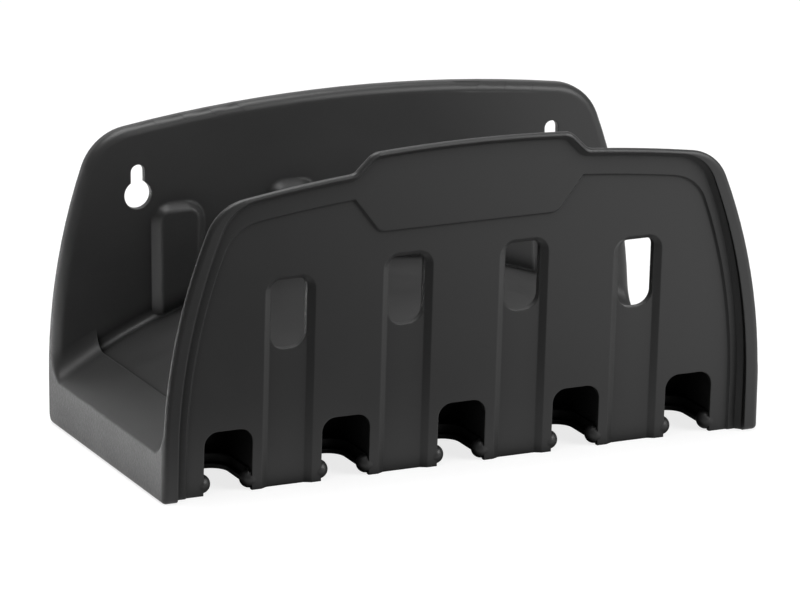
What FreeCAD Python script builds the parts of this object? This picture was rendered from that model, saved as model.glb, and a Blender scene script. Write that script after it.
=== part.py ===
import FreeCAD, Part
import math
import os
import Sketcher

# Wall hanger for a garden hose and its fittings, one piece of moulded polypropylene, in millimetres.
# X runs along the wall, Y into the wall and Z up. The wall is the plane Y = 0, and Z = 0 is the foot.
# The hose lies coiled over the arched floor, between the back plate and the front plate that leans out.
# Five sockets along the foot of the front plate take the push-fit ends of the hose.

DRIVING_SIZES = {
    # the whole piece
    "width": 272.0,
    "depth": 131.0,
    "wall": 3.0,
    "floor_wall": 3.2,
    "side_start": 21.0,
    # back plate
    "back_top": 134.3,
    "back_crown_radius": 680.0,
    "back_side_radius": 264.0,
    "back_corner_radius": 24.0,
    "back_stand_off": 6.0,
    "back_edge_radius": 4.0,
    "back_foot_radius": 5.0,
    "back_foot_strip": 7.0,
    # front plate
    "front_top": 135.6,
    "front_crown_radius": 650.0,
    "front_side_radius": 248.0,
    "front_corner_radius": 21.0,
    "rim_lean": 2.7,
    "field_lean": 3.9,
    "rim_rise": 5.3,
    "rim_width": 6.6,
    "rim_top_width": 2.2,
    "rim_slope": 2.1,
    "rim_edge_radius": 2.6,
    "rim_foot_radius": 2.0,
    "rim_back_width": 5.2,
    # raised crest in the middle of the front plate
    "crest_rise": 7.5,
    "crest_half_base": 53.0,
    "crest_half_top": 44.8,
    "crest_top_radius": 7.0,
    "crest_foot_radius": 5.0,
    # shallow field pressed into the front plate
    "field_step": 0.9,
    "field_step_slope": 0.8,
    "field_margin": 11.9,
    "field_top_margin": 12.0,
    "crest_panel_foot": 106.5,
    "crest_panel_half_foot": 40.0,
    "crest_panel_half_top": 51.5,
    "crest_panel_corner": 5.0,
    # trough that the hose lies in
    "floor_end_height": 20.6,
    "floor_arch_radius": 250.0,
    "trough_fillet": 8.0,
    "trough_edge_radius": 1.4,
    "floor_recess": 1.0,
    "floor_border": 19.7,
    "recess_fillet": 4.0,
    # channels, windows and sockets repeat along the front
    "outer_socket_margin": 31.0,
    "channel_width": 25.6,
    "channel_floor_width": 16.6,
    "channel_depth": 2.5,
    "channel_head_gap": 3.2,
    "channel_corner": 9.0,
    "window_width": 16.0,
    "window_height": 30.0,
    "window_outer_foot": 59.7,
    "window_inner_foot": 64.2,
    "window_corner": 3.6,
    "window_foot_corner": 6.6,
    "pad_rise": 3.4,
    # sockets for the fittings
    "socket_width": 21.5,
    "socket_height": 27.4,
    "socket_corner": 6.0,
    "socket_depth": 36.0,
    "socket_wall": 2.2,
    "shelf_foot": 3.1,
    "shelf_lip": 2.0,
    "shelf_top": 9.0,
    "notch_width": 15.6,
    "notch_length": 27.5,
    "notch_ledge": 2.0,
    "nose_radius": 4.1,
    "nose_foot": 0.3,
    # keyholes for two screws
    "keyhole_margin": 39.3,
    "keyhole_height": 97.6,
    "keyhole_entry_radius": 6.2,
    "keyhole_slot_width": 6.4,
    "keyhole_travel": 10.0,
}

REACH = 60.0  # how far a cutting body runs past the piece
SINK = 0.5  # how far one body runs into the next, so that they join
NEAR = 0.02  # how far off a plane a point may lie and still count as on it
PAD_FLARE = 1.0  # how much wider a strip is on the side away from its channel
NOSE_PROUD = 0.4  # how far the round noses stand out of the front plate

doc = FreeCAD.newDocument("hose_hanger")
sizes = doc.addObject("Spreadsheet::Sheet", "Sizes")
for row, (alias, value) in enumerate(DRIVING_SIZES.items(), start=1):
    sizes.set(f"A{row}", alias)
    sizes.set(f"B{row}", f"{value}")
    sizes.setAlias(f"B{row}", alias)
doc.recompute()


def size(alias):
    return float(sizes.get(alias))


def point(u, v):
    return FreeCAD.Vector(u, v, 0)


def line(a, b):
    return Part.LineSegment(point(*a), point(*b))


def arc(a, middle, b):
    return Part.Arc(point(*a), point(*middle), point(*b))


ACROSS = FreeCAD.Rotation(FreeCAD.Vector(1, 0, 0), 90)
ALONG = FreeCAD.Rotation(FreeCAD.Vector(0, 0, 1), 90) * ACROSS
FLAT = FreeCAD.Rotation()


def sketch(name, geometry, rotation):
    """A closed outline. ACROSS draws it in X and Z, ALONG in Y and Z, and FLAT in X and Y."""
    outline = doc.addObject("Sketcher::SketchObject", name)
    outline.Placement = FreeCAD.Placement(FreeCAD.Vector(), rotation)
    outline.addGeometry(geometry, False)
    return outline


def prism(name, outline, direction, start, end):
    """The outline swept along a direction from start to end, both given as expressions of the sheet."""
    body = doc.addObject("Part::Extrusion", name)
    body.Base = outline
    body.DirMode = "Custom"
    body.Dir = direction
    body.Solid = True
    body.setExpression("LengthFwd", end)
    body.setExpression("LengthRev", f"-({start})")
    return body


def boolean(kind, name, parts):
    body = doc.addObject(f"Part::{kind}", name)
    if kind == "Cut":
        body.Base, body.Tool = parts
    else:
        body.Shapes = parts
    return body


def fillet(name, base, wanted, alias, kind="Fillet"):
    """The base with its wanted edges rounded, or chamfered, to one size of the sheet."""
    doc.recompute()
    body = doc.addObject(f"Part::{kind}", name)
    body.Base = base
    radius = size(alias)
    body.Edges = [(i, radius, radius) for i, edge in enumerate(base.Shape.Edges, start=1) if wanted(edge)]
    return body


TO_FRONT = FreeCAD.Vector(0, -1, 0)
TO_RIGHT = FreeCAD.Vector(1, 0, 0)
UP = FreeCAD.Vector(0, 0, 1)


def circles_meet(centre_a, radius_a, centre_b, radius_b):
    """Where two circles cross, the crossing with the larger u and v of the two."""
    du, dv = centre_b[0] - centre_a[0], centre_b[1] - centre_a[1]
    apart = math.hypot(du, dv)
    along = (radius_a ** 2 - radius_b ** 2 + apart ** 2) / (2 * apart)
    aside = math.sqrt(radius_a ** 2 - along ** 2)
    found = []
    for sign in (1, -1):
        u = centre_a[0] + along * du / apart - sign * aside * dv / apart
        v = centre_a[1] + along * dv / apart + sign * aside * du / apart
        found.append((u, v))
    return max(found, key=lambda crossing: crossing[0])


def beyond(centre, through, radius):
    """The point at that radius from the centre, on the ray through another point."""
    du, dv = through[0] - centre[0], through[1] - centre[1]
    scale = radius / math.hypot(du, dv)
    return (centre[0] + du * scale, centre[1] + dv * scale)


def between(centre, a, b, radius):
    return beyond(centre, ((a[0] + b[0]) / 2, (a[1] + b[1]) / 2), radius)


def crowned_outline(half, foot, start, top, side_radius, crown_radius, corner_radius):
    """A plate's outline: upright sides that curve in above start, round corners and a crowned top."""
    side_centre = (half - side_radius, start)
    crown_centre = (0.0, top - crown_radius)
    corner_centre = circles_meet(
        side_centre, side_radius - corner_radius, crown_centre, crown_radius - corner_radius
    )
    widest = (half, start)
    side_end = beyond(side_centre, corner_centre, side_radius)
    crown_end = beyond(crown_centre, corner_centre, crown_radius)
    side_middle = between(side_centre, widest, side_end, side_radius)
    corner_middle = between(corner_centre, side_end, crown_end, corner_radius)

    def left(p):
        return (-p[0], p[1])

    return [
        line((-half, foot), (half, foot)),
        line((half, foot), widest),
        arc(widest, side_middle, side_end),
        arc(side_end, corner_middle, crown_end),
        arc(crown_end, (0.0, top), left(crown_end)),
        arc(left(crown_end), left(corner_middle), left(side_end)),
        arc(left(side_end), left(side_middle), left(widest)),
        line(left(widest), (-half, foot)),
    ]


def crest_outline(half_foot, half_top, foot, flank_foot, rise, crown_top, crown_radius):
    """The raised middle of the front plate: sloping flanks under a crowned top."""
    top = crown_top + rise
    drop = crown_radius + rise - math.sqrt((crown_radius + rise) ** 2 - half_top ** 2)
    shoulder = top - drop
    return [
        line((-half_foot, foot), (half_foot, foot)),
        line((half_foot, foot), (half_foot, flank_foot)),
        line((half_foot, flank_foot), (half_top, shoulder)),
        arc((half_top, shoulder), (0.0, top), (-half_top, shoulder)),
        line((-half_top, shoulder), (-half_foot, flank_foot)),
        line((-half_foot, flank_foot), (-half_foot, foot)),
    ]


def crown_height(top, radius, x):
    """Height of a crowned edge at a distance from the middle."""
    return top - radius + math.sqrt(radius ** 2 - x ** 2)


def is_along_y(edge):
    ends = [vertex.Point for vertex in edge.Vertexes]
    return len(ends) == 2 and abs((ends[1] - ends[0]).y) > 0.999 * edge.Length > 0


def lies(edge, wanted):
    """Whether an edge's two ends and its middle all pass a test."""
    first, last = edge.ParameterRange
    return all(wanted(edge.valueAt(at)) for at in (first, (first + last) / 2, last))


def is_near(edge, x, z, reach=0.5):
    middle = edge.CenterOfMass
    return abs(abs(middle.x) - x) < reach and abs(middle.z - z) < reach


def front_prism(name, inset, top_inset, foot, start, end):
    """The front plate's outline, moved in from its edge, as a body through the plate."""
    half = size("width") / 2 - inset
    top = size("front_top") - top_inset
    crown = size("front_crown_radius") - top_inset
    plate = sketch(f"{name}_plate_outline", crowned_outline(
        half, foot, size("side_start"), top, size("front_side_radius"), crown,
        size("front_corner_radius") - top_inset,
    ), ACROSS)
    half_foot = size("crest_half_base") - top_inset / 2
    half_top = size("crest_half_top") - top_inset / 2
    flank_foot = crown_height(top, crown, half_foot)
    crest = sketch(f"{name}_crest_outline", crest_outline(
        half_foot, half_top, top - REACH, flank_foot, size("crest_rise"), top, crown,
    ), ACROSS)
    plate_prism = prism(f"{name}_plate_prism", plate, TO_FRONT, start, end)
    crest_prism = prism(f"{name}_crest_prism", crest, TO_FRONT, start, end)
    whole = boolean("MultiFuse", f"{name}_sharp", [plate_prism, crest_prism])
    shoulder = crown_height(top + size("crest_rise"), crown + size("crest_rise"), half_top)
    rounded = fillet(f"{name}_shoulders", whole, lambda e: is_along_y(e) and is_near(e, half_top, shoulder),
                     "crest_top_radius")
    return fillet(name, rounded, lambda e: is_along_y(e) and is_near(e, half_foot, flank_foot),
                  "crest_foot_radius")


def leaning_slab(name, near_foot, near_lean, far_foot, far_lean, low, high, half):
    """The space between two planes that lean out to the front, from one height to another."""
    def front_at(foot_y, lean, z):
        return -foot_y - z * math.tan(math.radians(lean))

    corners = [
        (front_at(near_foot, near_lean, low), low),
        (front_at(far_foot, far_lean, low), low),
        (front_at(far_foot, far_lean, high), high),
        (front_at(near_foot, near_lean, high), high),
    ]
    outline = sketch(f"{name}_outline", [line(a, b) for a, b in zip(corners, corners[1:] + corners[:1])], ALONG)
    return prism(name, outline, TO_RIGHT, f"-({half})", half)


def make_hull():
    """The outer form: both plates' outlines joined by one block, with the rim's rounded outer edge."""
    back = prism("back_block", sketch("back_outline", crowned_outline(
        size("width") / 2, 0.0, size("side_start"), size("back_top"), size("back_side_radius"),
        size("back_crown_radius"), size("back_corner_radius"),
    ), ACROSS), TO_FRONT, "0", "Sizes.depth / 2")
    front = front_prism("front_block", 0.0, 0.0, 0.0, "Sizes.depth / 2", f"Sizes.depth + {REACH}")
    both = fillet("plates_block", boolean("MultiFuse", "plates_sharp", [back, front]),
                  lambda e: is_along_y(e) and is_near(e, size("width") / 2, 0.0), "rim_foot_radius")
    slab = leaning_slab("section_sharp", 0.0, 0.0, size("depth"), size("rim_lean"), 0.0,
                        size("front_top") + REACH, "Sizes.width / 2 + 1")
    section = fillet("section", slab, lambda e: lies(e, lambda p: abs(p.y) < NEAR and abs(p.z) < NEAR),
                     "back_foot_radius")
    hull = boolean("MultiCommon", "hull", [both, section])

    def on_rim(edge):
        return is_at_plane(edge, size("depth"), size("rim_lean")) and edge.CenterOfMass.z > NEAR

    return fillet("rounded_hull", hull, on_rim, "rim_edge_radius")


def floor_apex():
    """Height of the arched floor in its middle, over ends at the stated height."""
    radius, half = size("floor_arch_radius"), size("width") / 2
    return size("floor_end_height") + radius - math.sqrt(radius ** 2 - half ** 2)


def arch_prism(name, drop, start, end, half, above=True):
    """Everything above the floor's arch, or everything below it, lowered by drop."""
    radius = size("floor_arch_radius")
    apex = floor_apex() - drop
    side = crown_height(apex, radius, half)
    far = apex + 2 * REACH + size("front_top") if above else -REACH
    outline = sketch(f"{name}_outline", [
        arc((half, side), (0.0, apex), (-half, side)),
        line((-half, side), (-half, far)),
        line((-half, far), (half, far)),
        line((half, far), (half, side)),
    ], ACROSS)
    return prism(name, outline, TO_FRONT, start, end)


def trough_part(name, half, drop, front_foot, front_lean, alias):
    """The space over the floor up to the front plate, with a round corner along each plate's foot."""
    between_plates = leaning_slab(f"{name}_between_plates", size("back_stand_off"), 0.0, front_foot,
                                  front_lean, 0.0, size("front_top") + REACH, f"{half}")
    over_floor = arch_prism(f"{name}_over_floor", drop, "0", f"Sizes.depth + {REACH}", half)
    sharp = boolean("MultiCommon", f"{name}_sharp", [between_plates, over_floor])

    def at_plate_foot(edge):
        box = edge.BoundBox
        return box.XLength > 1.9 * half and box.ZMax < floor_apex() + 1 and box.YLength < 10

    return fillet(name, sharp, at_plate_foot, alias)


def make_trough():
    """The open space that the hose lies in. It is deeper between its two end strips, and behind the rim."""
    half, beside = size("width") / 2, size("width") / 2 + 5
    field_back = size("depth") - size("rim_rise") - size("wall")
    field_lean = size("field_lean")
    whole = trough_part("whole_trough", beside, 0.0, field_back, field_lean, "trough_fillet")
    band = trough_part("sunken_band", half - size("floor_border"), size("floor_recess"), field_back, field_lean,
                       "recess_fillet")
    to_rim = trough_part("trough_to_rim", beside, 0.0, size("depth") - size("wall"), size("rim_lean"),
                         "trough_fillet")
    inside = front_prism("inside_rim_back", size("rim_back_width"), size("rim_top_width"), -REACH, "0",
                         f"Sizes.depth + {REACH}")
    behind_rim = boolean("Cut", "behind_rim", [to_rim, inside])
    return boolean("MultiFuse", "trough", [whole, band, behind_rim])


def make_under_hollow():
    """The open underside between the two plates and the two end walls."""
    half = size("width") / 2 - size("wall")
    return arch_prism("under_hollow", size("floor_wall"), "Sizes.back_stand_off",
                      "Sizes.depth - Sizes.rim_rise - Sizes.wall", half, above=False)


def make_rear_hollow():
    """The shallow space behind the back plate, inside the flange that meets the wall."""
    inset = size("wall")
    outline = sketch("rear_outline", crowned_outline(
        size("width") / 2 - inset, size("back_foot_strip"), size("side_start"), size("back_top") - inset,
        size("back_side_radius") - inset, size("back_crown_radius") - inset,
        size("back_corner_radius") - inset,
    ), ACROSS)
    return prism("rear_hollow", outline, TO_FRONT, "-1", "Sizes.back_stand_off - Sizes.wall")


def round_trough_edges(shell):
    """The shell with a soft edge round the trough, larger along the back plate than elsewhere."""
    doc.recompute()
    back, rim_back = size("back_stand_off"), size("depth") - size("wall")
    low, high = size("floor_end_height") - 1, size("floor_end_height") + 1.5 * size("trough_fillet")
    slope = math.tan(math.radians(size("rim_lean")))
    wide, narrow = size("back_edge_radius"), size("trough_edge_radius")
    skin = shell.Base.Shape.Shells[0]

    def on_back(p):
        return abs(p.y + back) < NEAR and p.z > low

    def on_front(p):
        return abs(p.y + rim_back + p.z * slope) < NEAR and p.z > low

    def at_end(p):
        return abs(p.x) > size("width") / 2 - 1 and low < p.z < high and p.y < NEAR - back

    def on_skin(p):
        return skin.distToShape(Part.Vertex(p))[0] < NEAR

    rounded = []
    for number, edge in enumerate(shell.Shape.Edges, start=1):
        ends = [edge.valueAt(at) for at in edge.ParameterRange]
        if not lies(edge, on_skin):
            continue
        if lies(edge, on_back):
            rounded.append((number, wide, wide))
        elif lies(edge, at_end) and on_back(ends[0]):
            rounded.append((number, wide, narrow))
        elif lies(edge, at_end) or lies(edge, on_front):
            rounded.append((number, narrow, narrow))
    body = doc.addObject("Part::Fillet", "rounded_shell")
    body.Base = shell
    body.Edges = rounded
    return body


def at_field(inward=0.0):
    """A placement in the front plate's leaning field, moved into the plate by the stated depth."""
    lean = math.radians(size("field_lean"))
    foot = size("depth") - size("rim_rise")
    inwards = FreeCAD.Vector(0, math.cos(lean), math.sin(lean))
    base = FreeCAD.Vector(0, -foot, 0) + inwards * inward
    return FreeCAD.Placement(base, FreeCAD.Rotation(FreeCAD.Vector(1, 0, 0), 90 + size("field_lean")))


def at_back(forward=0.0):
    """A placement in the back plate's front face, moved towards the front by the stated distance."""
    return FreeCAD.Placement(FreeCAD.Vector(0, -size("back_stand_off") - forward, 0), ACROSS)


def headed_outline(middle, half, foot, head, corner):
    """An upright strip with a flat foot and two round corners at its head."""
    bow = corner * (1 - math.sqrt(0.5))
    left, right = middle - half, middle + half
    return [
        line((left, foot), (right, foot)),
        line((right, foot), (right, head - corner)),
        arc((right, head - corner), (right - bow, head - bow), (right - corner, head)),
        line((right - corner, head), (left + corner, head)),
        arc((left + corner, head), (left + bow, head - bow), (left, head - corner)),
        line((left, head - corner), (left, foot)),
    ]


def drafted_strip(name, wide, narrow):
    """A strip with sloping sides, between two outlines that each have their own placement."""
    sections = []
    for part_name, (geometry, placement) in (("wide", wide), ("narrow", narrow)):
        outline = doc.addObject("Sketcher::SketchObject", f"{name}_{part_name}")
        outline.Placement = placement
        outline.addGeometry(geometry, False)
        sections.append(outline)
    body = doc.addObject("Part::Loft", name)
    body.Sections = sections
    body.Solid = True
    body.Ruled = True
    return body


def socket_pitch():
    """Distance from one socket to the next, with the outer two at their margin from the ends."""
    return (size("width") / 2 - size("outer_socket_margin")) / 2


def channel_middles():
    """Middle of each channel along X, with the foot of the window in it."""
    pitch = socket_pitch()
    inner, outer = size("window_inner_foot"), size("window_outer_foot")
    return [(-1.5 * pitch, outer), (-0.5 * pitch, inner), (0.5 * pitch, inner), (1.5 * pitch, outer)]


def socket_middles():
    return [step * socket_pitch() for step in (-2, -1, 0, 1, 2)]


def channel_pair(middle, window_foot, foot, widen=0.0, narrow=0.0):
    """The outlines of a channel at the plate's face and at its own floor."""
    head = window_foot + size("window_height")
    face = headed_outline(middle, size("channel_width") / 2 + widen, foot,
                          head + size("channel_head_gap") + widen, size("channel_corner") + widen)
    floor = headed_outline(middle, size("channel_floor_width") / 2 + narrow, foot,
                           head + narrow, size("window_corner") + narrow)
    return face, floor


def make_front_pads():
    """Raised strips inside the front plate, which keep its wall as thick behind the channels."""
    pads = []
    for number, (middle, window_foot) in enumerate(channel_middles(), start=1):
        face, floor = channel_pair(middle, window_foot, 0.0, PAD_FLARE, PAD_FLARE)
        inside = size("wall") - SINK
        pads.append(drafted_strip(f"front_pad_{number}", (face, at_field(inside)),
                                  (floor, at_field(inside + SINK + size("channel_depth")))))
    return pads


def make_back_pads():
    """Raised strips on the back plate, opposite the channels of the front plate."""
    pads, cores = [], []
    for number, (middle, window_foot) in enumerate(channel_middles(), start=1):
        face, floor = channel_pair(middle, window_foot, 0.0)
        pads.append(drafted_strip(f"back_pad_{number}", (face, at_back(-SINK)),
                                  (floor, at_back(size("pad_rise")))))
        face, floor = channel_pair(middle, window_foot, size("wall"), -PAD_FLARE, -PAD_FLARE)
        cores.append(drafted_strip(f"back_pad_core_{number}", (face, at_back(-size("wall") - SINK)),
                                   (floor, at_back(size("pad_rise") - size("wall")))))
    return pads, cores


def make_channels():
    """Channels down the front plate, each with a window at its head."""
    cuts = []
    for number, (middle, window_foot) in enumerate(channel_middles(), start=1):
        face, floor = channel_pair(middle, window_foot, -REACH)
        cuts.append(drafted_strip(f"channel_{number}", (face, at_field()),
                                  (floor, at_field(size("channel_depth")))))
        half = size("window_width") / 2
        head = window_foot + size("window_height")
        outline = sketch(f"window_outline_{number}", rounded_box(
            (middle - half, window_foot), (middle + half, head)), ACROSS)
        cuts.append(prism(f"window_{number}", outline, TO_FRONT, "Sizes.depth * 0.75",
                          f"Sizes.depth + {REACH}"))
    return cuts


def rounded_box(low, high):
    """A window's rectangle between two corners, with rounder corners at its foot than at its head."""
    upper, lower = size("window_corner"), size("window_foot_corner")
    up, down = upper * (1 - math.sqrt(0.5)), lower * (1 - math.sqrt(0.5))
    (left, foot), (right, head) = low, high
    return [
        line((left + lower, foot), (right - lower, foot)),
        arc((right - lower, foot), (right - down, foot + down), (right, foot + lower)),
        line((right, foot + lower), (right, head - upper)),
        arc((right, head - upper), (right - up, head - up), (right - upper, head)),
        line((right - upper, head), (left + upper, head)),
        arc((left + upper, head), (left + up, head - up), (left, head - upper)),
        line((left, head - upper), (left, foot + lower)),
        arc((left, foot + lower), (left + down, foot + down), (left + lower, foot)),
    ]


def is_at_plane(edge, foot, lean):
    """Whether an edge lies in a plane that leans out from that distance at the foot."""
    slope = math.tan(math.radians(lean))
    return lies(edge, lambda p: abs(p.y + foot + p.z * slope) < NEAR)


def slope_sides(name, base, foot, alias):
    """A sunken body whose sides slope down to its deep face, which leans with the field."""
    def at_foot_of_side(edge):
        return is_at_plane(edge, foot, size("field_lean")) and edge.BoundBox.ZMax > -REACH / 2

    return fillet(name, base, at_foot_of_side, alias, "Chamfer")


def make_rim_recess():
    """The main field of the front plate, sunk inside its raised rim, which slopes down to it."""
    field_foot = size("depth") - size("rim_rise")
    inside_rim = front_prism("inside_rim", size("rim_width"), size("rim_top_width"), -REACH,
                             "Sizes.depth / 2", f"Sizes.depth + {REACH}")
    before_field = leaning_slab("before_field", field_foot, size("field_lean"), size("depth") + REACH, 0.0,
                                -2 * REACH, size("front_top") + REACH, "Sizes.width")
    sharp = boolean("MultiCommon", "rim_recess_sharp", [inside_rim, before_field])

    return slope_sides("rim_recess", sharp, field_foot, "rim_slope")


def make_pressed_field():
    """The shallow inner field, which passes under the crest's own panel."""
    inset, top_inset = size("field_margin"), size("field_top_margin")
    outline = sketch("pressed_field_outline", crowned_outline(
        size("width") / 2 - inset, -REACH, size("side_start"), size("front_top") - top_inset,
        size("front_side_radius") - inset, size("front_crown_radius") - top_inset,
        size("front_corner_radius") - size("rim_top_width"),
    ), ACROSS)
    whole = prism("pressed_field_prism", outline, TO_FRONT, "Sizes.depth / 2", f"Sizes.depth + {REACH}")
    half_foot, half_top = size("crest_panel_half_foot"), size("crest_panel_half_top")
    foot, top = size("crest_panel_foot"), crown_height(size("front_top") - top_inset,
                                                       size("front_crown_radius"), half_top)
    panel = sketch("crest_panel_outline", [
        line((-half_foot, foot), (half_foot, foot)),
        line((half_foot, foot), (half_top, top)),
        line((half_top, top), (half_top, top + REACH)),
        line((half_top, top + REACH), (-half_top, top + REACH)),
        line((-half_top, top + REACH), (-half_top, top)),
        line((-half_top, top), (-half_foot, foot)),
    ], ACROSS)
    panel_prism = prism("crest_panel_prism", panel, TO_FRONT, "0", f"Sizes.depth + 2 * {REACH}")
    rounded_panel = fillet("crest_panel", panel_prism, lambda e: is_along_y(e) and is_near(e, half_foot, foot),
                           "crest_panel_corner")
    sharp = boolean("Cut", "pressed_field_sharp", [whole, rounded_panel])
    deep_foot = size("depth") - size("rim_rise") - size("field_step")
    deep = leaning_slab("before_pressed_field", deep_foot, size("field_lean"), size("depth") + REACH, 0.0,
                        -2 * REACH, size("front_top") + REACH, "Sizes.width")
    stepped = boolean("MultiCommon", "pressed_field_stepped", [sharp, deep])
    return slope_sides("pressed_field", stepped, deep_foot, "field_step_slope")


def u_outline(middle, half, mouth, length):
    """A U in plan that opens to the front: straight sides and a round end, length deep from the mouth."""
    back = mouth + length
    return [
        line((middle - half, mouth), (middle + half, mouth)),
        line((middle + half, mouth), (middle + half, back - half)),
        arc((middle + half, back - half), (middle, back), (middle - half, back - half)),
        line((middle - half, back - half), (middle - half, mouth)),
    ]


def make_socket(number, middle):
    """One socket: the box that hangs under the floor, and the cuts that open it."""
    half, wall = size("socket_width") / 2, size("socket_wall")
    face = -(size("depth") - size("rim_rise"))
    inside_face = face + size("wall") - SINK
    reach = size("socket_depth")
    under_floor = size("floor_wall") - SINK
    top = size("front_top")
    box_outline = sketch(f"socket_box_outline_{number}", u_outline(
        middle, half + wall, inside_face, face + reach + wall - inside_face), FLAT)
    box_prism = prism(f"socket_box_prism_{number}", box_outline, UP, "Sizes.shelf_foot", f"{top}")
    below = arch_prism(f"below_floor_{number}", under_floor, "0", f"Sizes.depth + {REACH}",
                       size("width") / 2 - wall, above=False)
    box = boolean("MultiCommon", f"socket_box_{number}", [box_prism, below])
    pocket_outline = sketch(f"pocket_outline_{number}", u_outline(middle, half, inside_face - SINK,
                                                                  face + reach - inside_face + SINK), FLAT)
    pocket_prism = prism(f"pocket_prism_{number}", pocket_outline, UP, "Sizes.shelf_top", f"{top}")
    ceiling = arch_prism(f"pocket_ceiling_{number}", size("floor_wall"), "0", f"Sizes.depth + {REACH}",
                         size("width") / 2, above=False)
    pocket = boolean("MultiCommon", f"pocket_{number}", [pocket_prism, ceiling])
    mouth = prism(f"socket_mouth_{number}", sketch(f"socket_mouth_outline_{number}", headed_outline(
        middle, half, -REACH, size("socket_height"), size("socket_corner")), ACROSS), TO_FRONT,
        "Sizes.depth - Sizes.rim_rise - Sizes.wall - 0.2", f"Sizes.depth + {REACH}")
    before = face - REACH
    notch = prism(f"notch_{number}", sketch(f"notch_outline_{number}", u_outline(
        middle, size("notch_width") / 2, before, size("notch_length") + REACH), FLAT), UP, f"-{REACH}",
        "Sizes.shelf_top + 1")
    ledge = size("notch_ledge")
    counterbore = prism(f"counterbore_{number}", sketch(f"counterbore_outline_{number}", u_outline(
        middle, size("notch_width") / 2 + ledge, before, size("notch_length") + ledge + REACH), FLAT), UP,
        "Sizes.shelf_foot + Sizes.shelf_lip", "Sizes.shelf_top + 1")
    return box, [pocket, mouth, notch, counterbore]


def make_noses():
    """Round noses at both sides of each socket's mouth, which a fitting is pushed past."""
    noses = []
    radius = size("nose_radius")
    height = size("nose_foot") + radius
    plate = size("depth") - size("rim_rise") - size("field_step")
    face = plate + height * math.tan(math.radians(size("field_lean")))
    for number, middle in enumerate(socket_middles(), start=1):
        for name, side in (("left", -1), ("right", 1)):
            nose = doc.addObject("Part::Sphere", f"nose_{name}_{number}")
            nose.setExpression("Radius", "Sizes.nose_radius")
            nose.Placement = FreeCAD.Placement(FreeCAD.Vector(
                middle + side * size("socket_width") / 2, radius - face - NOSE_PROUD, height), FLAT)
            noses.append(nose)
    return noses


def make_keyholes():
    """Keyholes for two screws: a round entry below and a narrower slot above it."""
    cuts = []
    half = size("keyhole_slot_width") / 2
    height, travel = size("keyhole_height"), size("keyhole_travel")
    for name, side in (("left", -1), ("right", 1)):
        x = side * (size("width") / 2 - size("keyhole_margin"))
        drill = doc.addObject("Part::Cylinder", f"keyhole_entry_{name}")
        drill.setExpression("Radius", "Sizes.keyhole_entry_radius")
        drill.setExpression("Height", "Sizes.depth / 4")
        drill.Placement = FreeCAD.Placement(FreeCAD.Vector(x, 1, height), ACROSS)
        slot = sketch(f"keyhole_slot_outline_{name}", headed_outline(
            x, half, height, height + travel + half, half * 0.999), ACROSS)
        cuts += [drill, prism(f"keyhole_slot_{name}", slot, TO_FRONT, "-1", "Sizes.depth / 4")]
    return cuts


hull = make_hull()
trough = make_trough()
hollows = boolean("MultiFuse", "hollows", [trough, make_under_hollow(), make_rear_hollow()])
shell = boolean("Cut", "shell", [hull, hollows])

back_pads, back_cores = make_back_pads()
added = [round_trough_edges(shell), *make_front_pads(), *back_pads]
cuts = [make_rim_recess(), make_pressed_field(), *make_channels(), *back_cores, *make_keyholes()]
for number, middle in enumerate(socket_middles(), start=1):
    box, openings = make_socket(number, middle)
    added.append(box)
    cuts += openings

filled = boolean("MultiFuse", "filled", added)
opened = boolean("Cut", "opened", [filled, boolean("MultiFuse", "all_cuts", cuts)])
hanger = boolean("MultiFuse", "hanger_body", [opened, *make_noses()])
doc.recompute()

hanger.Label = "hanger"
# the origin of the frame is the middle of the foot
extent = hanger.Shape.optimalBoundingBox(False)
hanger.Placement = FreeCAD.Placement(FreeCAD.Vector(0, -(extent.YMin + extent.YMax) / 2, 0), FLAT)
doc.recompute()

for item in doc.Objects:
    if "Invalid" in item.State or "Error" in item.State:
        raise RuntimeError(f"{item.Label} could not be built")
if hanger.Shape.isNull() or not hanger.Shape.isValid():
    raise RuntimeError("the hanger is not a sound solid")

os.makedirs("parts", exist_ok=True)
hanger.Shape.exportStep(f"parts/{hanger.Label}.step")
print("solids", len(hanger.Shape.Solids), "volume", round(hanger.Shape.Volume), "faces", len(hanger.Shape.Faces))
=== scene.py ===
import math

import bpy
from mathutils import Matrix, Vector


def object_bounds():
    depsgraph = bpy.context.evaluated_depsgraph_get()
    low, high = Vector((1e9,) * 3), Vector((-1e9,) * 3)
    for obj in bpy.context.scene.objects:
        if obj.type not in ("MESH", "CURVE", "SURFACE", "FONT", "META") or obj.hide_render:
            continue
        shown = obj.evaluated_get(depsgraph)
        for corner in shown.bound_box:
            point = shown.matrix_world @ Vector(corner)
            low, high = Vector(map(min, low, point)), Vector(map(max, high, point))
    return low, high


bl_info = {
    "name": "Hose Hanger Looks",
    "version": (1, 0, 0),
    "blender": (4, 2, 0),
    "location": "View3D > Sidebar > Hose Hanger",
    "description": "Finish, light and camera for a moulded wall hanger for a garden hose",
    "category": "Object",
}

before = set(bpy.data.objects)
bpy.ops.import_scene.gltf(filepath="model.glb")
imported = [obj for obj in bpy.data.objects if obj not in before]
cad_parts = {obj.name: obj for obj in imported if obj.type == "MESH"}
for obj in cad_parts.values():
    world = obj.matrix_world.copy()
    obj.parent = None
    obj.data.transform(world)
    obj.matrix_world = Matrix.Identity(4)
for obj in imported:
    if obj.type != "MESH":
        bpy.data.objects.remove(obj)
CAD_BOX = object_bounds()

MM = 0.001
HANGER = "hanger"
WHITE = (1.0, 1.0, 1.0, 1.0)

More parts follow.
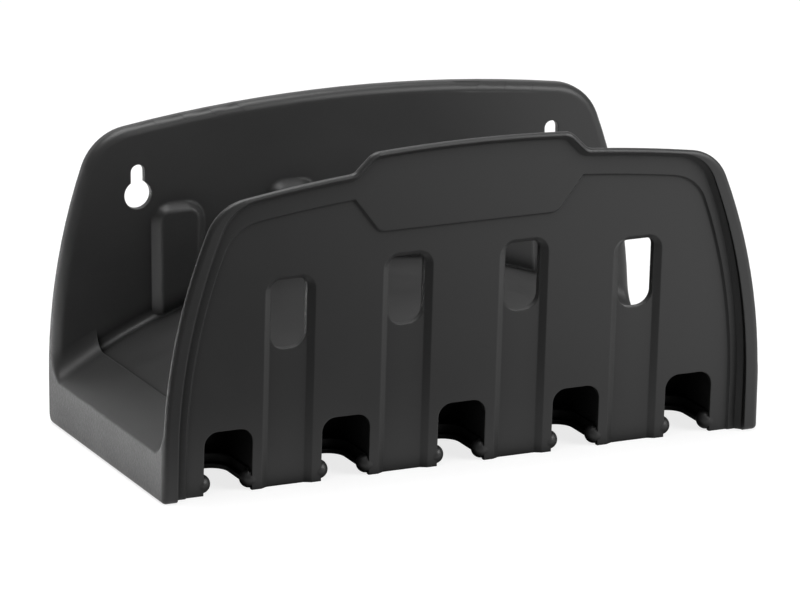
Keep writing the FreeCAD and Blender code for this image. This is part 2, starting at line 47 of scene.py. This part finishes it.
# the back plate's crown: its height, radius, half width and rounding, and the strip behind that
BACK_TOP = 134.3 * MM
CROWN_RADIUS = 680.0 * MM
CROWN_HALF = 101.2 * MM
CROWN_ROUNDING = 4.0 * MM
BACK_LAND = 2.0 * MM
# the crown's true normal holds as far forward as its rounding and this share more
CROWN_MARGIN = 0.02
# and only where the cosine of its angle to the mesh's normal is more than this
CROWN_AGREES = 0.6

# the field of the pads on the back plate: half its width, how far forward it reaches, and the
# strip over which their wide roundings give way to small ones
PAD_FIELD_HALF = 90.0 * MM
PAD_FIELD_FRONT = 56.0 * MM
PAD_FIELD_FADE = 2.0 * MM

# a noise pattern stays between these two almost everywhere
NOISE_LOW, NOISE_HIGH = 0.3, 0.7
# how much smoother and how much rougher than its mean the flow of the melt leaves the skin
SMOOTHER, ROUGHER = 0.03, 0.04
# how deep a grain and a pit are, as a share of their width, and how strongly each one shows
GRAIN_DEPTH, GRAIN_STRENGTH = 0.08, 0.6
PIT_DEPTH, PIT_STRENGTH = 0.16, 1.0
# the specular level at the bottom of a pit and at its rim; a smooth face has their mean
PIT_GLEAM_LOW, PIT_GLEAM_HIGH = 0.36, 0.64
NO_PITS = 0.5
# the cosines of how far an arris has turned where its painted highlight and wear start, and where they
# are full
EDGE_LIGHT_STARTS, EDGE_LIGHT_FULL = 0.995, 0.86
# the sideways share of the normal where a face starts to count as an end wall, and does fully
END_WALL_STARTS, END_WALL_FULL = 0.9, 0.99
# the open share of the air at which a corner's painted shade is full, and at which there is none
CORNER_SHUT, CORNER_OPEN = 0.6, 0.92
# the share of its colour and gleam that a corner keeps under full painted shade
SHADED_CORNER_KEEPS = 0.08
# the plastic's index of refraction
PLASTIC_IOR = 1.49
# rays for each soft arris and for the painted shade of each inner corner
EDGE_SAMPLES = 6
CORNER_SHADE_SAMPLES = 6

# the edge of the painted shadow under the piece: where the paper starts to give light and where it
# gives it in full, from 0 at the hanger's middle to 1 at the sides of its box
COVERED, CLEAR = 0.8, 0.97
# the sheet of paper, in metres, with the radius of its bend and the steps round that
PAPER_WIDTH = 22.0
PAPER_NEAR, PAPER_FAR = -11.0, 7.0
PAPER_RISE = 8.8
PAPER_BEND = PAPER_RISE / 5
BEND_STEPS = 24

# the spot of paper beside the end wall: how far out it lies and how far back
SPOT_OUT = 0.24
SPOT_BACK = 0.2
# the lights: height or place, width and height of each, and the spread of the one on the spot
SPOT_LIGHT_RISE, SPOT_LIGHT_SIZE = 0.35, (0.42, 0.6)
SPOT_LIGHT_SPREAD = math.radians(15)
TOP_LIGHT_PLACE, TOP_LIGHT_SIZE = (-0.1, 0.1, 1.7), (1.3, 1.1)
RIGHT_LIGHT_PLACE, RIGHT_LIGHT_SIZE = (0.75, -0.75, 0.6), (0.6, 0.7)

# the camera aims a little below the hanger's middle
CAMERA_AIM = Vector((-1.362, 3.536, 55.733)) * MM
# its sensor's width in millimetres, and how far it sees in metres
SENSOR_WIDTH = 36.0
CAMERA_REACH = 20.0


def linear(hex_colour):
    """An sRGB hex colour as linear red, green, blue and alpha."""
    channels = [int(hex_colour[i:i + 2], 16) / 255 for i in (1, 3, 5)]
    return [c / 12.92 if c <= 0.04045 else ((c + 0.055) / 1.055) ** 2.4 for c in channels] + [1.0]


def add_node(tree, kind, settings=None, links=None):
    """A node with its settings, linked to sockets, or to the first output in use of other nodes.

    A Mix node's inputs share their names, so they go by number: 2 and 3 take numbers, 4 and 5
    vectors, and 6 and 7 colours.
    """
    node = tree.nodes.new(kind)
    for key, value in (settings or {}).items():
        if isinstance(key, int) or key in node.inputs:
            node.inputs[key].default_value = value
        else:
            setattr(node, key, value)
    for key, source in (links or {}).items():
        if isinstance(source, bpy.types.Node):
            source = next(output for output in source.outputs if output.enabled)
        tree.links.new(source, node.inputs[key])
    return node


def empty_nodes(owner):
    """The node tree of a new material or world, with nothing in it."""
    owner.use_nodes = True
    owner.node_tree.nodes.clear()
    return owner.node_tree


def grain_scale(grain_mm):
    """The scale of a noise pattern whose grains are that many millimetres across."""
    return 1.0 / (grain_mm * MM)


def crown_normal(tree, place, skin, softened):
    """The true normal of the rounding along the back plate's crown, and the softened one elsewhere.

    The rounding is part of a ring. The way out from the ring's core line is the normal there, so
    the mesh's long facets shade as one even band of light.
    """
    centre = Vector((0.0, CAD_BOX[1][1] - BACK_LAND, BACK_TOP - CROWN_RADIUS))
    seen = add_node(tree, "ShaderNodeVectorMath", {"operation": "SUBTRACT", 1: centre}, {0: place})
    axes = add_node(tree, "ShaderNodeSeparateXYZ", links={0: seen}).outputs
    level = add_node(tree, "ShaderNodeVectorMath", {
        "operation": "MULTIPLY", 1: (1.0, 0.0, 1.0)}, {0: seen})
    reach = add_node(tree, "ShaderNodeVectorMath", {"operation": "LENGTH"}, {0: level})
    over = add_node(tree, "ShaderNodeMath", {
        "operation": "SUBTRACT", 1: CROWN_RADIUS - CROWN_ROUNDING}, {0: reach})
    ahead = add_node(tree, "ShaderNodeMath", {"operation": "MINIMUM", 1: 0.0}, {0: axes["Y"]})

    upward = add_node(tree, "ShaderNodeVectorMath", {"operation": "NORMALIZE"}, {0: level})
    rise = add_node(tree, "ShaderNodeVectorMath", {"operation": "SCALE"}, {0: upward, "Scale": over})
    forward = add_node(tree, "ShaderNodeCombineXYZ", links={"Y": ahead})
    outward = add_node(tree, "ShaderNodeVectorMath", {"operation": "ADD"}, {0: rise, 1: forward})
    ring = add_node(tree, "ShaderNodeVectorMath", {"operation": "NORMALIZE"}, {0: outward})

    # the ring's normal holds where every one of these tests does
    aside = add_node(tree, "ShaderNodeMath", {"operation": "ABSOLUTE"}, {0: axes["X"]})
    agreement = add_node(tree, "ShaderNodeVectorMath", {"operation": "DOT_PRODUCT"}, {0: ring, 1: skin})
    tests = [
        add_node(tree, "ShaderNodeMath", {"operation": operation, 1: limit}, {0: source})
        for source, operation, limit in (
            (over, "GREATER_THAN", 0.0),
            (ahead, "GREATER_THAN", -CROWN_ROUNDING * (1 + CROWN_MARGIN)),
            (aside, "LESS_THAN", CROWN_HALF),
            (agreement, "GREATER_THAN", CROWN_AGREES),
        )
    ]
    here = tests[0]
    for test in tests[1:]:
        here = add_node(tree, "ShaderNodeMath", {"operation": "MULTIPLY"}, {0: here, 1: test})
    return add_node(tree, "ShaderNodeMix", {"data_type": "VECTOR"}, {0: here, 4: softened, 5: ring})


def soft_arrises(tree, place, finish):
    """The normal with its arrises rounded: widely on the back plate's pads, and a little elsewhere."""
    axes = add_node(tree, "ShaderNodeSeparateXYZ", links={0: place}).outputs
    aside = add_node(tree, "ShaderNodeMath", {"operation": "ABSOLUTE"}, {0: axes["X"]})
    between = add_node(tree, "ShaderNodeMath", {
        "operation": "LESS_THAN", 1: PAD_FIELD_HALF}, {0: aside})
    at_back = add_node(tree, "ShaderNodeMapRange", {
        "From Min": PAD_FIELD_FRONT - PAD_FIELD_FADE, "From Max": PAD_FIELD_FRONT}, {
        "Value": axes["Y"]})
    on_pads = add_node(tree, "ShaderNodeMath", {"operation": "MULTIPLY"}, {0: between, 1: at_back})
    radius = add_node(tree, "ShaderNodeMapRange", {
        "To Min": finish.edge_radius, "To Max": finish.pad_edge_radius}, {"Value": on_pads})
    return add_node(tree, "ShaderNodeBevel", {"samples": EDGE_SAMPLES}, {"Radius": radius})


def plastic_colour(tree, finish, flow, lit_and_worn_patches, skin, softened):
    """The plastic's colour, a little uneven from the flow, with painted highlight and wear on the
    arrises.
    """
    turned = add_node(tree, "ShaderNodeVectorMath", {
        "operation": "DOT_PRODUCT"}, {0: softened, 1: skin})
    edge = add_node(tree, "ShaderNodeMapRange", {
        "From Min": EDGE_LIGHT_STARTS, "From Max": EDGE_LIGHT_FULL}, {"Value": turned})
    # painted highlight and wear: the turned arrises are lighter in colour, in patches
    lit_and_worn = add_node(tree, "ShaderNodeMath", {"operation": "MULTIPLY"}, {0: edge, 1: lit_and_worn_patches})
    body = add_node(tree, "ShaderNodeMix", {
        "data_type": "RGBA", 6: (*finish.colour, 1.0), 7: (*finish.flow_colour, 1.0)}, {0: flow})
    return add_node(tree, "ShaderNodeMix", {
        "data_type": "RGBA", 7: (*finish.lit_and_worn_edge_colour, 1.0)}, {0: lit_and_worn, 6: body})


def end_wall_pits(tree, pitted, skin):
    """The height of the coarser grain that the tool's slides leave on the end walls."""
    sideways = add_node(tree, "ShaderNodeSeparateXYZ", links={0: skin}).outputs["X"]
    aside = add_node(tree, "ShaderNodeMath", {"operation": "ABSOLUTE"}, {0: sideways})
    end_wall = add_node(tree, "ShaderNodeMapRange", {
        "From Min": END_WALL_STARTS, "From Max": END_WALL_FULL}, {"Value": aside})
    return add_node(tree, "ShaderNodeMix", {
        "data_type": "FLOAT", 2: NO_PITS}, {0: end_wall, 3: pitted})


def moulded_polypropylene(finish):
    """Dark polypropylene moulded in a tool with a fine satin grain.

    The grain spreads the highlights into soft sheets of light, the slow flow of the melt makes them
    a little uneven, and the rounded arrises carry a thin painted highlight, patchy like wear where
    hands and hoses rub. Inner corners carry painted shade.
    """
    material = bpy.data.materials.new("Polypropylene, injection moulded, satin grained")
    tree = empty_nodes(material)
    place = add_node(tree, "ShaderNodeTexCoord").outputs["Object"]
    skin = add_node(tree, "ShaderNodeNewGeometry").outputs["Normal"]

    # real grain is about 0.1 mm; it is drawn coarser, because finer grain would not show
    grain, flow, lit_and_worn_patches, pitted = [
        add_node(tree, "ShaderNodeTexNoise", {
            "Scale": grain_scale(width_mm), **pattern}, {"Vector": place})
        for width_mm, pattern in (
            (finish.grain_mm, {"Detail": 3.0, "Roughness": 0.6}),
            (finish.flow_mm, {"Detail": 2.0, "Distortion": 0.6}),
            (finish.lit_and_worn_mm, {"Detail": 4.0, "Roughness": 0.65}),
            (finish.pit_mm, {"Detail": 3.0, "Roughness": 0.7}),
        )
    ]

    softened = soft_arrises(tree, place, finish)
    colour = plastic_colour(tree, finish, flow, lit_and_worn_patches, skin, softened)
    pits = end_wall_pits(tree, pitted, skin)
    fine = add_node(tree, "ShaderNodeBump", {
        "Strength": GRAIN_STRENGTH, "Distance": finish.grain_mm * MM * GRAIN_DEPTH}, {
        "Height": grain, "Normal": crown_normal(tree, place, skin, softened)})
    relief = add_node(tree, "ShaderNodeBump", {
        "Strength": PIT_STRENGTH, "Distance": finish.pit_mm * MM * PIT_DEPTH}, {
        "Height": pits, "Normal": fine})
    gloss = add_node(tree, "ShaderNodeMapRange", {
        "From Min": NOISE_LOW, "From Max": NOISE_HIGH,
        "To Min": finish.roughness - SMOOTHER, "To Max": finish.roughness + ROUGHER}, {"Value": flow})
    mottled = add_node(tree, "ShaderNodeMapRange", {
        "From Min": NOISE_LOW, "From Max": NOISE_HIGH,
        "To Min": PIT_GLEAM_LOW, "To Max": PIT_GLEAM_HIGH}, {"Value": pits})

    # painted shade: inner corners lose colour and gleam, which shows how deep the recesses are
    air = add_node(tree, "ShaderNodeAmbientOcclusion", {
        "samples": CORNER_SHADE_SAMPLES, "only_local": True, "Distance": finish.corner_shade_reach}).outputs["AO"]
    unshaded_share = add_node(tree, "ShaderNodeMapRange", {
        "From Min": CORNER_SHUT, "From Max": CORNER_OPEN, "To Min": SHADED_CORNER_KEEPS}, {"Value": air})
    shaded_gleam = add_node(tree, "ShaderNodeMath", {"operation": "MULTIPLY"}, {0: mottled, 1: unshaded_share})
    shaded = add_node(tree, "ShaderNodeVectorMath", {"operation": "SCALE"}, {0: colour, "Scale": unshaded_share})

    plastic = add_node(tree, "ShaderNodeBsdfPrincipled", {"IOR": PLASTIC_IOR}, {
        "Base Color": shaded, "Roughness": gloss, "Specular IOR Level": shaded_gleam, "Normal": relief})
    add_node(tree, "ShaderNodeOutputMaterial", links={"Surface": plastic})
    return material


def white_sweep(stage):
    """Matt white studio paper. It shows white, and keeps the soft shadow under the piece.

    The light that it gives the piece is painted: full behind and at the right, dim in front at the
    left, so that the end wall gleams, the front plate brightens to the right and the sockets stay deep.
    """
    material = bpy.data.materials.new("Paper, matt white studio sweep")
    tree = empty_nodes(material)
    ray = add_node(tree, "ShaderNodeLightPath").outputs
    place = add_node(tree, "ShaderNodeTexCoord").outputs["Object"]
    axes = add_node(tree, "ShaderNodeSeparateXYZ", links={0: place}).outputs

    # painted light and shade: for the piece's rays the paper is full behind and at the right, dim in
    # front at the left
    ramps = [
        add_node(tree, "ShaderNodeMapRange", {
            "From Min": dim, "From Max": full, "To Min": stage.dim_level}, {"Value": axes[axis]})
        for axis, dim, full in (
            ("Y", stage.dim_front, stage.lit_back), ("X", stage.dim_left, stage.lit_right))
    ]
    lit = add_node(tree, "ShaderNodeMath", {"operation": "MAXIMUM"}, dict(enumerate(ramps)))

    # painted shadow: no light leaves the paper that the piece covers, except toward the camera
    shares = []
    for axis, half in zip("XY", CAD_BOX[1]):
        aside = add_node(tree, "ShaderNodeMath", {"operation": "ABSOLUTE"}, {0: axes[axis]})
        shares.append(add_node(tree, "ShaderNodeMath", {"operation": "DIVIDE", 1: half}, {0: aside}))
    outward = add_node(tree, "ShaderNodeMath", {"operation": "MAXIMUM"}, dict(enumerate(shares)))
    clear = add_node(tree, "ShaderNodeMapRange", {
        "From Min": COVERED, "From Max": CLEAR}, {"Value": outward})
    given = add_node(tree, "ShaderNodeMath", {"operation": "MULTIPLY"}, {0: lit, 1: clear})
    shade = add_node(tree, "ShaderNodeMath", {
        "operation": "MAXIMUM"}, {0: given, 1: ray["Is Camera Ray"]})

    # the lift whitens the paper for the camera, and is a painted glow in reflections; it adds no
    # diffuse light
    seen = ray["Is Camera Ray"]
    for other in ("Is Glossy Ray", "Is Transmission Ray"):
        seen = add_node(tree, "ShaderNodeMath", {"operation": "MAXIMUM"}, {0: seen, 1: ray[other]})
    lifted = add_node(tree, "ShaderNodeMath", {"operation": "MULTIPLY"}, {0: seen, 1: shade})
    lift = add_node(tree, "ShaderNodeMath", {
        "operation": "MULTIPLY", 1: stage.paper_lift}, {0: lifted})

    colour = add_node(tree, "ShaderNodeVectorMath", {
        "operation": "SCALE", 0: stage.paper_colour}, {"Scale": shade})
    paper = add_node(tree, "ShaderNodeBsdfDiffuse", links={"Color": colour})
    glow = add_node(tree, "ShaderNodeEmission", {"Color": WHITE}, {"Strength": lift})
    both = add_node(tree, "ShaderNodeAddShader", links={0: paper, 1: glow})
    add_node(tree, "ShaderNodeOutputMaterial", links={"Surface": both})
    return material


def white_room(surround):
    """A room that shows white to the camera and gives the set an even, weak light."""
    room = bpy.data.worlds.new("studio_room")
    tree = empty_nodes(room)
    ray = add_node(tree, "ShaderNodeLightPath").outputs
    strength = add_node(tree, "ShaderNodeMapRange", {
        "To Min": surround}, {"Value": ray["Is Camera Ray"]})
    air = add_node(tree, "ShaderNodeBackground", {"Color": WHITE}, {"Strength": strength})
    add_node(tree, "ShaderNodeOutputWorld", links={"Surface": air})
    return room


def paper_mesh(floor):
    """One sheet of paper: flat under the piece, curving up far behind it."""
    outline = [(PAPER_NEAR, floor), (PAPER_FAR - PAPER_BEND, floor)]
    for step in range(1, BEND_STEPS + 1):
        angle = math.pi / 2 * step / BEND_STEPS
        outline.append((
            PAPER_FAR - PAPER_BEND + PAPER_BEND * math.sin(angle),
            floor + PAPER_BEND * (1 - math.cos(angle)),
        ))
    outline.append((PAPER_FAR, floor + PAPER_RISE))
    points = [(side * PAPER_WIDTH / 2, y, z) for y, z in outline for side in (-1, 1)]
    faces = [(i, i + 1, i + 3, i + 2) for i in range(0, len(points) - 2, 2)]
    mesh = bpy.data.meshes.new("paper_sweep")
    mesh.from_pydata(points, [], faces)
    for face in mesh.polygons:
        face.use_smooth = True
    return mesh


def area_light(name, place, aim, size, power, spread=math.pi):
    """A soft rectangular light at a place, turned to what it lights and hidden from the camera."""
    lamp = bpy.data.lights.new(name, "AREA")
    lamp.shape = "RECTANGLE"
    lamp.size, lamp.size_y = size
    lamp.spread = spread
    lamp.energy = power
    light = bpy.data.objects.new(name, lamp)
    light.location = place
    light.rotation_euler = (Vector(aim) - Vector(place)).to_track_quat("-Z", "Y").to_euler()
    light.visible_camera = False
    bpy.context.scene.collection.objects.link(light)


def photo_camera(stage):
    """The camera, at the stage's angles and distance from what it aims at."""
    away = Vector((
        math.sin(stage.azimuth) * math.cos(stage.elevation),
        -math.cos(stage.azimuth) * math.cos(stage.elevation),
        math.sin(stage.elevation),
    ))
    camera_data = bpy.data.cameras.new("photo_camera")
    camera_data.lens = stage.lens
    camera_data.sensor_width = SENSOR_WIDTH
    camera_data.clip_end = CAMERA_REACH
    camera = bpy.data.objects.new("photo_camera", camera_data)
    camera.location = CAMERA_AIM + away * stage.distance
    camera.rotation_euler = (-away).to_track_quat("-Z", "Y").to_euler()
    bpy.context.scene.collection.objects.link(camera)
    return camera


def colour_property(name, description, hex_colour):
    """A colour setting, with its default given as an sRGB hex colour."""
    return bpy.props.FloatVectorProperty(
        name=name, description=description, subtype="COLOR", size=3, min=0.0, max=1.0,
        default=linear(hex_colour)[:3])


class HoseHangerFinish(bpy.types.PropertyGroup):
    """Finish of the moulded plastic, with its painted edge highlight and painted corner shade."""
    colour: colour_property("Plastic", "Colour of the moulded plastic", "#2f2f2f")
    flow_colour: colour_property("Flow", "Colour where the melt flowed last", "#333333")
    # the colour of the painted highlight and wear along the arrises
    lit_and_worn_edge_colour: colour_property("Rubbed edge", "Colour of the rubbed arrises", "#484848")
    roughness: bpy.props.FloatProperty(
        name="Roughness", description="Roughness of the satin skin",
        default=0.42, min=0.05, max=1.0)
    grain_mm: bpy.props.FloatProperty(
        name="Grain (mm)", description="Width of one grain of the tool's texture",
        default=0.5, min=0.05)
    pit_mm: bpy.props.FloatProperty(
        name="Pits (mm)", description="Width of one pit of the end walls' coarser grain",
        default=1.2, min=0.1)
    flow_mm: bpy.props.FloatProperty(
        name="Flow marks (mm)", description="Width of the soft marks of the melt's flow",
        default=38.0, min=1.0)
    # the painted highlight and wear along the arrises come in patches this long
    lit_and_worn_mm: bpy.props.FloatProperty(
        name="Rub marks (mm)", description="Length of the worn places along the edges",
        default=9.0, min=0.5)
    edge_radius: bpy.props.FloatProperty(
        name="Edge", description="Radius of the small arrises",
        default=0.8 * MM, min=0.0, unit="LENGTH")
    pad_edge_radius: bpy.props.FloatProperty(
        name="Pad edge", description="Radius of the edges of the back plate's pads",
        default=2.2 * MM, min=0.0, unit="LENGTH")
    # how far the painted shade in the inner corners reaches
    corner_shade_reach: bpy.props.FloatProperty(
        name="Corners", description="How far the matt, dark inner corners reach",
        default=9.0 * MM, min=0.0, unit="LENGTH")


class HoseHangerStage(bpy.types.PropertyGroup):
    """Paper, light and camera."""
    paper_colour: colour_property("Paper", "Colour of the studio paper", "#8f8f8f")
    # the paper is white to the camera, and a painted glow in reflections
    paper_lift: bpy.props.FloatProperty(
        name="Paper lift", description="Light added to the paper as the camera sees it",
        default=0.8, min=0.0)
    # where the paper's painted light and shade fall, as the piece sees it
    dim_level: bpy.props.FloatProperty(
        name="Dim level", description="Share of its light that the dim part of the paper keeps",
        default=0.18, min=0.0, max=1.0)
    dim_front: bpy.props.FloatProperty(
        name="Dim front", description="Where the paper is dimmest, along the depth",
        default=-0.14, unit="LENGTH")
    lit_back: bpy.props.FloatProperty(
        name="Lit back", description="Where the paper is fully lit, along the depth",
        default=-0.05, unit="LENGTH")
    dim_left: bpy.props.FloatProperty(
        name="Dim left", description="Where the paper is dimmest, along the width",
        default=-0.02, unit="LENGTH")
    lit_right: bpy.props.FloatProperty(
        name="Lit right", description="Where the paper is fully lit, along the width",
        default=0.2, unit="LENGTH")
    surround: bpy.props.FloatProperty(
        name="Surround", description="Brightness of the room round the set",
        default=0.12, min=0.0)
    paper_power: bpy.props.FloatProperty(
        name="Paper light", description="Power of the light on the paper beside the end wall",
        default=3.7, min=0.0, unit="POWER")
    top_power: bpy.props.FloatProperty(
        name="Top light", description="Power of the light overhead",
        default=29.0, min=0.0, unit="POWER")
    right_power: bpy.props.FloatProperty(
        name="Right light", description="Power of the light at the right",
        default=8.5, min=0.0, unit="POWER")
    azimuth: bpy.props.FloatProperty(
        name="Azimuth", description="Side angle of the camera",
        default=math.radians(-23.727), subtype="ANGLE")
    elevation: bpy.props.FloatProperty(
        name="Elevation", description="Height angle of the camera",
        default=math.radians(15.56), subtype="ANGLE")
    distance: bpy.props.FloatProperty(
        name="Distance", description="From the camera to the point that it aims at",
        default=2.7248, min=0.5, unit="LENGTH")
    lens: bpy.props.FloatProperty(
        name="Lens", description="Focal length in millimetres",
        default=289.45, min=10.0, unit="CAMERA")


class HANGER_OT_finish_plastic(bpy.types.Operator):
    """Give the moulded hanger its satin plastic"""
    bl_idname = "hose_hanger.finish_plastic"
    bl_label = "Finish the Plastic"

    def execute(self, context):
        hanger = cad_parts[HANGER]
        if not hanger.material_slots:
            raise RuntimeError("the hanger has no material slot")
        plastic = moulded_polypropylene(context.scene.hose_hanger_finish)
        for material_slot in hanger.material_slots:
            material_slot.material = plastic
        return {"FINISHED"}


class HANGER_OT_set_stage(bpy.types.Operator):
    """Lay the white paper and place the lights and the camera"""
    bl_idname = "hose_hanger.set_stage"
    bl_label = "Set the Stage"

    def execute(self, context):
        scene = context.scene
        stage = scene.hose_hanger_stage
        low, high = (Vector(corner) for corner in CAD_BOX)
        middle = (low + high) / 2

        paper = bpy.data.objects.new("paper_sweep", paper_mesh(low.z))
        paper.data.materials.append(white_sweep(stage))
        scene.collection.objects.link(paper)

        # this light reaches only the paper beside the end wall, which then gleams in that wall
        spot = Vector((low.x - SPOT_OUT, SPOT_BACK, low.z))
        above = spot + Vector((0.0, 0.0, SPOT_LIGHT_RISE))
        area_light("paper_light", above, spot, SPOT_LIGHT_SIZE, stage.paper_power, SPOT_LIGHT_SPREAD)
        area_light("top_light", TOP_LIGHT_PLACE, middle, TOP_LIGHT_SIZE, stage.top_power)
        area_light("right_light", RIGHT_LIGHT_PLACE, middle, RIGHT_LIGHT_SIZE, stage.right_power)

        scene.world = white_room(stage.surround)
        scene.camera = photo_camera(stage)
        scene.view_settings.view_transform = "Standard"
        return {"FINISHED"}


class HANGER_PT_panel(bpy.types.Panel):
    """Steps that dress the hose hanger"""
    bl_idname = "HANGER_PT_panel"
    bl_label = "Hose Hanger"
    bl_space_type = "VIEW_3D"
    bl_region_type = "UI"
    bl_category = "Hose Hanger"

    def draw(self, context):
        for settings, operator in (
            (context.scene.hose_hanger_finish, HANGER_OT_finish_plastic),
            (context.scene.hose_hanger_stage, HANGER_OT_set_stage),
        ):
            box = self.layout.box()
            for name in settings.__annotations__:
                box.prop(settings, name)
            box.operator(operator.bl_idname)


CLASSES = (
    HoseHangerFinish,
    HoseHangerStage,
    HANGER_OT_finish_plastic,
    HANGER_OT_set_stage,
    HANGER_PT_panel,
)


def register():
    for item in CLASSES:
        bpy.utils.register_class(item)
    bpy.types.Scene.hose_hanger_finish = bpy.props.PointerProperty(type=HoseHangerFinish)
    bpy.types.Scene.hose_hanger_stage = bpy.props.PointerProperty(type=HoseHangerStage)


def unregister():
    del bpy.types.Scene.hose_hanger_stage
    del bpy.types.Scene.hose_hanger_finish
    for item in reversed(CLASSES):
        bpy.utils.unregister_class(item)


def main():
    register()
    bpy.ops.hose_hanger.finish_plastic()
    bpy.ops.hose_hanger.set_stage()


if __name__ == "__main__":
    main()
